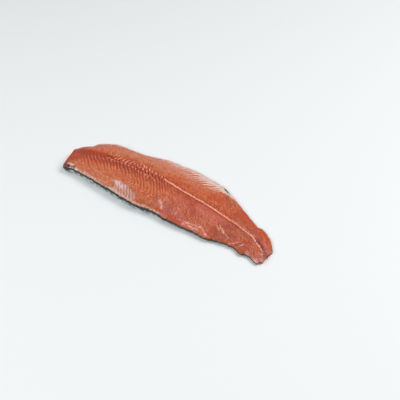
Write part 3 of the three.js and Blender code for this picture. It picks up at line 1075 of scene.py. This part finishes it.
def add_fat_lines(paint, graph, place, ragged_phase):
    patchy = graph.fade(graph.noise(place, 0.13, detail=3.0, roughness=0.6), 0.38, 0.58, 0.3, 1.0)
    lines = graph.times(read_mask(graph, "lines"), patchy)
    paint.lines(ragged_phase("band"), lines, (MUSCLE_DEEP, 0.42), (FAT_LINE, 0.6))
    strokes = graph.times(read_mask(graph, "strokes_share"), patchy)
    paint.lines(ragged_phase("strokes"), strokes, (MUSCLE_DEEP, 0.5), (FAT_LINE, 0.5))
    wisps = graph.fade(streaks(graph, place, -62, 8.0, 2.6), 0.46, 0.62)
    paint.over(graph.times(wisps, read_mask(graph, "wisps"), 0.6), WISP)


def add_belly_edge(paint, graph, ragged_phase):
    membrane = mottled(graph, MEMBRANE, SEAM_PINK, 0.12, 0.35)
    paint.mark("membrane", 0.95, mottled(graph, membrane, MEMBRANE_LILAC, 0.06, 0.8))
    paint.mark("hem", 0.8, mottled(graph, HEM, SALMON, 0.1, 0.6))
    comb_share = read_mask(graph, "comb_share")
    paint.lines(ragged_phase("comb"), comb_share, (COMB_GAP, 0.9), (COMB, 1.0), (0.95, 0.7))


def add_back_edge(paint, graph, place, ragged_phase):
    scar = Paint(graph, mottled(graph, SCAR, TAN, 0.12, 0.6))
    scar.mark("lilac", 0.9, SCAR_LILAC)
    striped = read_mask(graph, "striped")
    scar.lines(ragged_phase("stripes"), striped, (SCAR_STRIPE, 0.7), (SCAR_LILAC, 0.6), (0.6, 0.55))
    scar.mark("spots", 0.38, SCAR_SPOT)
    paint.mark("scar", 1.0, scar.colour)
    broken = graph.fade(graph.noise(place, 0.2, detail=3.0, roughness=0.6), 0.4, 0.56, 0.15, 0.95)
    paint.over(graph.times(read_mask(graph, "streak"), broken), STREAK)
    paint.mark("fat", 0.9, mottled(graph, mottled(graph, CREAM, TAN, 0.25, 0.4), MAUVE, 0.12, 0.4))
    paint.mark("white", 0.9, WHITE_FAT)
    # Painted shade: the crease beside the shelf is painted darker.
    paint.mark("crease", 0.8, MUSCLE_DEEP)


def add_ends(paint, graph, ragged_phase):
    """The pale tail end, the seam's pale line, the cut faces, and over all of them painted shade: dark
    patches and near-black holes.
    """
    paint.mark("pale_end", 0.6, mottled(graph, PALE_END, MAUVE, 0.2, 0.8))
    paint.mark("pale_line", 0.7, SEAM_PINK)
    cut_face = Paint(graph, mottled(graph, MUSCLE_DEEP, MUSCLE, 0.2, 0.6))
    cut_face.over(graph.times(pulse(graph, ragged_phase("cut_rings"), 0.5), 0.7), FAT_LINE)
    paint.mark("cut_end", 1.0, cut_face.colour)
    # Painted shade: dark purple patches at both ends and near the back edge.
    paint.mark("painted_shade", 0.85, mottled(graph, PAINTED_SHADE, MUSCLE_DEEP, 0.2, 0.6))
    # Painted shade: the holes are painted near black.
    paint.mark("hole", 0.95, CHAR)


def flesh_material():
    material, graph, shader = new_material("raw flesh", WET_FLESH)
    place = millimetres(graph)
    graph.feed(shader.inputs["Base Color"], flesh_colour(graph, place))
    ripples = add_film(graph, shader, 0.3, 0.52, 0.06, 0.5)
    fibres = graph.add("ShaderNodeMapping", {"Vector": place, "Scale": (0.25, 1.4, 1.0)}).outputs[0]
    add_bump(graph, shader, graph.plus(ripples, graph.noise(fibres, 1.0)), 0.4, 0.6)
    return material


def sinew_material(name, colour, patch_colour):
    """Pale tissue: the cut pin bones and the beaded seam."""
    material, graph, shader = new_material(name, WET_FLESH)
    graph.feed(shader.inputs["Base Color"], mottled(graph, colour, patch_colour, 0.3, 0.7))
    add_film(graph, shader, 0.25, 0.42, 0.2, 0.8)
    return material


# ------------------------------------------------------------------------------------------- the skin


def skin_colour(graph, place):
    """Dark along the back, then silver, and white under the belly, with dark spots above the middle."""
    girth = read_mask(graph, "girth")
    from_rim = read_mask(graph, "from_rim")
    along = graph.axes(place)["X"]
    paint = Paint(graph, TEAL_SKIN)
    paint.over(graph.fade(girth, 0.08, 0.16), SLATE)
    paint.over(graph.fade(girth, 0.12, 0.42), SILVER)
    paint.over(graph.fade(girth, 0.5, 0.8), WHITE_BELLY)
    glints = graph.fade(graph.noise(place, 0.1, detail=4.0, roughness=0.7), 0.4, 0.56)
    head_end = graph.fade(along, 20.0, 120.0, 1.0, 0.55)
    paint.over(graph.times(glints, graph.fade(from_rim, 3.0, 6.0), head_end), SILVER)
    spots = graph.add("ShaderNodeTexVoronoi", {"Vector": place, "Scale": 0.055, "Randomness": 1.0}).outputs
    spot = graph.times(graph.fade(spots["Distance"], 0.2, 0.14), graph.fade(girth, 0.45, 0.35), 0.85)
    paint.over(spot, CHAR)
    paint.colour = mottled(graph, paint.colour, SLATE, 0.3, 0.3)
    wavering = graph.times(graph.math("SUBTRACT", graph.noise(place, 0.09), 0.5), 9.0)
    edge = graph.plus(from_rim, wavering, graph.fade(along, -200.0, -110.0, 1.5, -1.5))
    back = graph.colour(graph.fade(along, 60.0, 160.0), CHAR, TAIL_SKIN)
    paint.over(graph.fade(edge, 2.5, 5.5, 0.97, 0.0), back)
    return paint.colour


def skin_material(name, with_tone=False):
    """Wet skin. With tone, each scale is a little darker or lighter than the next."""
    material, graph, shader = new_material(name, {})
    colour = skin_colour(graph, millimetres(graph))
    if with_tone:
        colour = graph.colour(graph.fade(read_mask(graph, "tone"), 0.0, 1.0, 0.0, 0.35), colour, SLATE)
    graph.feed(shader.inputs["Base Color"], colour)
    graph.feed(shader.inputs["Metallic"], graph.fade(read_mask(graph, "girth"), 0.05, 0.3, 0.15, 0.55))
    ripples = add_film(graph, shader, 0.2, 0.42, 0.1, 0.6)
    add_bump(graph, shader, ripples, 0.3, 0.5)
    return material


SKIN_COLUMNS = 300
# Rows round the back curl, across the flat underside and round the belly curl.
SKIN_ROWS = (12, 36, 10)
SKIN_INSIDE_ROWS = (6, 2, 6)
SCALE_STANDING = 0.3  # depth left outside the skin's shell for its scales
SKIN_OVERLAP = 0.2  # how far the skin's inner face lies inside the flesh
RIM_ROUNDING = 0.4  # height of the rim above the middle between the edges of its two faces


def under_rows(along, depth, counts):
    """Rows of points from the back rim under the fillet to the belly rim."""
    back_rows, flat_rows, belly_rows = counts
    back = [curl_point(along, BACK, share, depth) for share in np.linspace(0, 1, back_rows)]
    belly = [curl_point(along, BELLY, share, depth) for share in np.linspace(1, 0, belly_rows)]
    flat = [mix(back[-1], belly[0], share) for share in np.linspace(0, 1, flat_rows)[1:-1]]
    return np.stack(back + flat + belly, 1)


def girth_fields(rows):
    """Distance of each point from the back rim round the skin, and its share of the whole way."""
    from_rim = lengths_along(rows)
    return {"from_rim": from_rim, "girth": from_rim / from_rim[:, -1:]}


def make_skin(material):
    along = np.linspace(0, 1, SKIN_COLUMNS)
    outer = under_rows(along, SKIN_DEPTH - SCALE_STANDING, SKIN_ROWS)
    inner = under_rows(along, -SKIN_OVERLAP, SKIN_INSIDE_ROWS)
    back_rim, belly_rim = ((outer[:, [end]] + inner[:, [end]]) / 2 + (0, 0, RIM_ROUNDING) for end in (0, -1))
    ring = np.concatenate([back_rim, outer, belly_rim, inner[:, ::-1]], 1)[:, ::-1]
    rows = ring.shape[1]
    # The rims and the inside take the values at the outside's edges.
    padding = ((0, 0), (1, 1 + inner.shape[1]))
    fields = {}
    for name, values in girth_fields(outer).items():
        fields[name] = np.pad(values, padding, "edge")[:, ::-1].ravel()
    rings = np.arange(SKIN_COLUMNS * rows).reshape(SKIN_COLUMNS, rows)
    faces = [*tube_faces(SKIN_COLUMNS, rows), rings[0], rings[-1, ::-1]]
    skin = make_mesh("skin_shell", ring.reshape(-1, 3), faces, fields)
    skin.data.materials.append(material)
    return skin


# ------------------------------------------------------------------------------------------ the scales

SCALE_PITCH = 4.2  # along the fish
SCALE_ROW_PITCH = 2.9  # round the fish
SCALE_MARGIN = 3.4  # from both ends to the middle of the nearest scale
SCALE_REACH = 0.6  # the skin goes on for this share of a scale's length and width from its middle
BED_COLUMNS = 253
BED_ROWS = (14, 60, 16)


def make_scales(material):
    """A sheet along the outside of the skin, which the tree covers with scales."""
    along = np.linspace(0, 1, BED_COLUMNS)
    bed = under_rows(along, SKIN_DEPTH - SCALE_STANDING, BED_ROWS)
    fields = girth_fields(bed)
    up = np.cross(np.gradient(bed, axis=1), np.gradient(bed, axis=0))
    up /= np.linalg.norm(up, axis=2, keepdims=True)
    from_head = along[:, None] * LENGTH + 0 * fields["from_rim"]
    unrolled = np.stack([from_head, fields["from_rim"], 0 * from_head], -1) * MM
    values = {name: value.ravel() for name, value in fields.items()}
    values.update(up=up.reshape(-1, 3), unrolled=unrolled.reshape(-1, 3))
    scales = make_mesh("skin_scales", bed.reshape(-1, 3), sheet_faces(*bed.shape[:2]), values)
    inputs = {
        "Material": material,
        "Columns": int((LENGTH - 2 * SCALE_MARGIN) / SCALE_PITCH),
        "Rows": int(fields["from_rim"].max() / SCALE_ROW_PITCH),
    }
    return run_tree(scales, scales_tree(), inputs)


def scales_tree():
    """Lays thin plates in rows over an unrolled sheet, free edges towards the tail, and rolls them up."""
    sizes = {
        "Columns": 100, "Rows": 50, "Pitch Along": SCALE_PITCH * MM, "Pitch Round": SCALE_ROW_PITCH * MM,
        "End Margin": SCALE_MARGIN * MM, "Rim Margin": 0.1 * MM, "Length": 5.4 * MM, "Width": 5.4 * MM,
        "Thickness": 0.26 * MM, "Sunk": 0.06 * MM, "Free Edge": 0.45, "Size Spread": 0.08,
        "Turn Spread": 0.1, "Seed": 5,
    }
    graph, given, ending = geometry_tree("fish scales", sizes)
    position = graph.add("GeometryNodeInputPosition").outputs[0]
    height = graph.axes(position)["Z"]
    size = graph.joined(X=given["Length"], Y=given["Width"], Z=given["Thickness"])

    def sampled(value, at):
        """A field of the sheet at a place on the unrolled sheet, and whether the sheet reaches there."""
        unrolled = read_field(graph, "unrolled", "FLOAT_VECTOR")
        inputs = {"Mesh": given["Geometry"], "UV Map": unrolled, "Value": value, "Sample UV": at}
        return graph.add("GeometryNodeSampleUVSurface", inputs, data_type="FLOAT_VECTOR").outputs

    def reaches(towards_tail):
        corner = graph.vector("MULTIPLY", size, (towards_tail, SCALE_REACH, 0.0))
        return sampled(position, graph.vector("ADD", position, corner))["Is Valid"]

    index = graph.add("GeometryNodeInputIndex").outputs[0]
    column = graph.math("FLOORED_MODULO", index, given["Columns"])
    row = graph.math("FLOOR", graph.math("DIVIDE", index, given["Columns"]))
    stagger = graph.times(graph.math("FLOORED_MODULO", row, 2.0), 0.5)
    spot = graph.joined(
        X=graph.plus(graph.times(graph.plus(column, stagger), given["Pitch Along"]), given["End Margin"]),
        Y=graph.times(graph.plus(row, 0.5), given["Pitch Round"]),
    )
    count = graph.times(given["Columns"], given["Rows"])
    points = graph.add("GeometryNodePoints", {"Count": count, "Position": spot}).outputs[0]
    on_skin = {0: reaches(-SCALE_REACH), 1: reaches(SCALE_REACH)}
    cut_off = graph.add("FunctionNodeBooleanMath", on_skin, operation="NAND").outputs[0]
    points = graph.add("GeometryNodeDeleteGeometry", {"Geometry": points, "Selection": cut_off}).outputs[0]

    outline = {"Vertices": 7, "Radius Top": 0.0, "Radius Bottom": 0.5, "Depth": 1.0}
    plate = graph.add("GeometryNodeMeshCone", outline, fill_type="NGON").outputs["Mesh"]
    lean = graph.joined(X=graph.times(height, given["Free Edge"]))
    plate = graph.add("GeometryNodeSetPosition", {"Geometry": plate, "Offset": lean}).outputs[0]
    plate = graph.add("GeometryNodeTransform", {"Geometry": plate, "Scale": size}).outputs[0]
    copies = scattered(graph, given, points, plate, swing(graph, given))
    flat = graph.add("GeometryNodeRealizeInstances", {"Geometry": copies}).outputs[0]

    place = graph.vector("MAXIMUM", position, graph.joined(Y=given["Rim Margin"]))
    up = sampled(read_field(graph, "up", "FLOAT_VECTOR"), place)["Value"]
    raised = graph.scaled(up, graph.math("SUBTRACT", height, given["Sunk"]))
    rolled = graph.vector("ADD", sampled(position, place)["Value"], raised)
    girth = graph.joined(X=read_field(graph, "girth"), Y=read_field(graph, "from_rim"))
    girth = graph.axes(sampled(girth, place)["Value"])
    for name, value in (("girth", girth["X"]), ("from_rim", girth["Y"])):
        stored = {"Geometry": flat, "Name": name, "Value": value}
        flat = graph.add("GeometryNodeStoreNamedAttribute", stored).outputs[0]
    scales = graph.add("GeometryNodeSetPosition", {"Geometry": flat, "Position": rolled}).outputs[0]
    scales = graph.add("GeometryNodeFlipFaces", {"Mesh": scales}).outputs[0]  # rolling turned them inside out
    end_tree(graph, given, ending, scales)
    return graph.tree


# -------------------------------------------------------------------------------- beads on the flesh

BONE_PITCH = 9.4
BONE_JITTER = 1.1
# A row of cut pin bones: its line, the length and width of a bone, and its seed.
BONE_ROWS = {
    "upper": (UPPER_BONES, 9.5, 3.0, 31),
    "middle": (MIDDLE_BONES, 8.0, 3.0, 32),
    "lower": (LOWER_BONES, 5.5, 2.8, 33),
}
# How far a cut bone leans towards the tail for each step towards the belly.
bone_lean = curve((-165, 0.9), (-135, 0.7), (-118, 0.2), (-105, -0.2), (-90, -0.5), (-30, -0.6))
SINEW_PITCH = 7.4
SINEW_JITTER = 0.45
SINEW_SLANT = (0, -2.0)
JITTER_SEED = 21


class Surface:
    """The finished flesh, to find the places of the beads on it."""

    def __init__(self, obj):
        self.tree = BVHTree.FromPolygons(
            [corner.co for corner in obj.data.vertices], [face.vertices for face in obj.data.polygons]
        )

    def at(self, x, y):
        """The point and normal of the flesh above a place in plan."""
        point, normal, _, _ = self.tree.ray_cast((x * MM, y * MM, 1), (0, 0, -1))
        return np.array(point) / MM, np.array(normal)


def along_line(stops, pitch):
    """Places every pitch along a line, and the direction of the line there."""
    stops = np.array(stops, float)
    runs = lengths_along(stops[None])[0]
    places = np.arange(pitch / 2, runs[-1], pitch)
    points = np.stack([np.interp(places, runs, stops[:, axis]) for axis in (0, 1)], -1)
    return points, np.gradient(points, axis=0)


def bead_row(surface, points, headings, tree, inputs, name):
    """Beads on the flesh at places in plan, each lying along its heading."""
    found = [surface.at(x, y) for x, y in points]
    fields = {
        "up": np.array([normal for _, normal in found]),
        "forward": np.array([(run, rise, 0) for run, rise in headings]),
    }
    beads = make_mesh(name, np.array([point for point, _ in found]), [], fields)
    return run_tree(beads, tree, inputs)


def make_beads(surface, bone, sinew):
    """The rows of cut pin bones, and the beads of sinew along the seam."""
    tree = beads_tree()
    random = np.random.default_rng(JITTER_SEED)
    rows = []
    for name, (stops, length, width, seed) in BONE_ROWS.items():
        points, _ = along_line(stops, BONE_PITCH)
        points = points + random.normal(0, BONE_JITTER, points.shape)
        slants = np.stack([bone_lean(points[:, 0]), np.ones(len(points))], -1)
        inputs = {
            "Material": bone, "Length": length * MM, "Width": width * MM, "Size Spread": 0.32,
            "Turn Spread": 0.3, "Seed": seed,
        }
        rows.append(bead_row(surface, points, slants, tree, inputs, "pin_bones_" + name))
    points, headings = along_line(SEAM_LINE, SINEW_PITCH)
    points = points + random.normal(0, SINEW_JITTER, points.shape)
    inputs = {
        "Material": sinew, "Length": 6.8 * MM, "Width": 2.8 * MM, "Height": 1.6 * MM, "Size Spread": 0.42,
    }
    rows.append(bead_row(surface, points, headings + SINEW_SLANT, tree, inputs, "seam_sinew"))
    return rows


def beads_tree():
    """Sets a low rounded bead on each corner."""
    sizes = {
        "Length": 4.0 * MM, "Width": 2.6 * MM, "Height": 2.0 * MM,
        "Size Spread": 0.2, "Turn Spread": 0.2, "Seed": 11,
    }
    graph, given, ending = geometry_tree("beads on flesh", sizes)
    ball = graph.add("GeometryNodeMeshUVSphere", {"Segments": 12, "Rings": 8, "Radius": 0.5}).outputs["Mesh"]
    size = graph.joined(X=given["Length"], Y=given["Width"], Z=given["Height"])
    ball = graph.add("GeometryNodeTransform", {"Geometry": ball, "Scale": size}).outputs[0]
    ball = graph.add("GeometryNodeSetShadeSmooth", {"Geometry": ball}).outputs[0]
    up, forward = (read_field(graph, name, "FLOAT_VECTOR") for name in ("up", "forward"))
    axes = {"Primary Axis": up, "Secondary Axis": forward}
    facing = graph.add("FunctionNodeAxesToRotation", axes, primary_axis="Z", secondary_axis="X").outputs[0]
    turns = {"Rotation": facing, "Rotate By": swing(graph, given)}
    turn = graph.add("FunctionNodeRotateRotation", turns, rotation_space="LOCAL").outputs[0]
    end_tree(graph, given, ending, scattered(graph, given, given["Geometry"], ball, turn))
    return graph.tree


# ---------------------------------------------------------------------------- floor, light and camera
# Places and sizes here are in metres.

FLOOR_REACH = 4
DAYLIGHT = (0.95, 0.98, 1, 1)
DAYLIGHT_STRENGTH = 0.34
# A light's place, width and power. All of them are aimed at the origin, under the fillet's middle.
LIGHTS = {
    "key light": ((1.5, 1.3, 2.3), 2.0, 54),
    "front fill": ((-0.5, -1.8, 1.8), 1.6, 22),
    "sheen light": ((-1.6, -0.4, 1.4), 0.5, 4),
}
CAMERA_PLACE = np.array((0.866, -0.9725, 1.269))
CAMERA_AZIMUTH = math.radians(39.27)
CAMERA_ELEVATION = math.radians(44.84)
CAMERA_ROLL = math.radians(-5.81)
CAMERA_LENS = 77.4


def make_floor():
    corners = np.array([(-1, -1, 0), (1, -1, 0), (1, 1, 0), (-1, 1, 0)]) * FLOOR_REACH / MM
    floor = make_mesh("floor", corners, [(0, 1, 2, 3)], {})
    material, _, _ = new_material("pale floor", {"Base Color": FLOOR_WHITE, "Roughness": 0.6})
    floor.data.materials.append(material)


def aim(place, target, roll=0.0):
    """The placing of a light or camera that looks from place to target, turned by roll about its view."""
    back = (place - target) / np.linalg.norm(place - target)
    right = np.cross((0, 0, 1), back)
    right = right / np.linalg.norm(right)
    up = np.cross(back, right)
    turned_right = math.cos(roll) * right + math.sin(roll) * up
    turned_up = math.cos(roll) * up - math.sin(roll) * right
    matrix = Matrix.Identity(4)
    for row in range(3):
        matrix[row][:] = (turned_right[row], turned_up[row], back[row], place[row])
    return matrix


def make_lights():
    for name, (place, width, power) in LIGHTS.items():
        light = bpy.data.lights.new(name, "AREA")
        light.shape = "DISK"
        light.size = width
        light.energy = power
        obj = bpy.data.objects.new(name, light)
        obj.matrix_world = aim(np.array(place), np.zeros(3))
        bpy.context.scene.collection.objects.link(obj)


def make_world():
    world = bpy.data.worlds.new("studio")
    world.use_nodes = True
    background = world.node_tree.nodes["Background"]
    background.inputs["Color"].default_value = DAYLIGHT
    background.inputs["Strength"].default_value = DAYLIGHT_STRENGTH
    bpy.context.scene.world = world
    bpy.context.scene.view_settings.view_transform = "Standard"


def make_camera():
    camera = bpy.data.objects.new("camera", bpy.data.cameras.new("camera"))
    flat = math.cos(CAMERA_ELEVATION)
    back = (math.sin(CAMERA_AZIMUTH) * flat, -math.cos(CAMERA_AZIMUTH) * flat, math.sin(CAMERA_ELEVATION))
    camera.matrix_world = aim(CAMERA_PLACE, CAMERA_PLACE - back, CAMERA_ROLL)
    camera.data.lens = CAMERA_LENS
    bpy.context.scene.collection.objects.link(camera)
    bpy.context.scene.camera = camera


# ------------------------------------------------------------------------------------- the whole scene

make_world()
make_lights()
make_camera()
make_floor()

flesh = make_flesh(flesh_material())
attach(flesh, "root")
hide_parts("flesh")
bone = sinew_material("cut pin bones", BONE, BONE_DEEP)
sinew = sinew_material("seam sinew", SINEW, SINEW_DEEP)
for beads in make_beads(Surface(flesh), bone, sinew):
    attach(beads, "root")

skin = make_skin(skin_material("wet skin"))
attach(skin, "root")
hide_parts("skin")
scales = make_scales(skin_material("fish scales", with_tone=True))
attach(scales, "root")
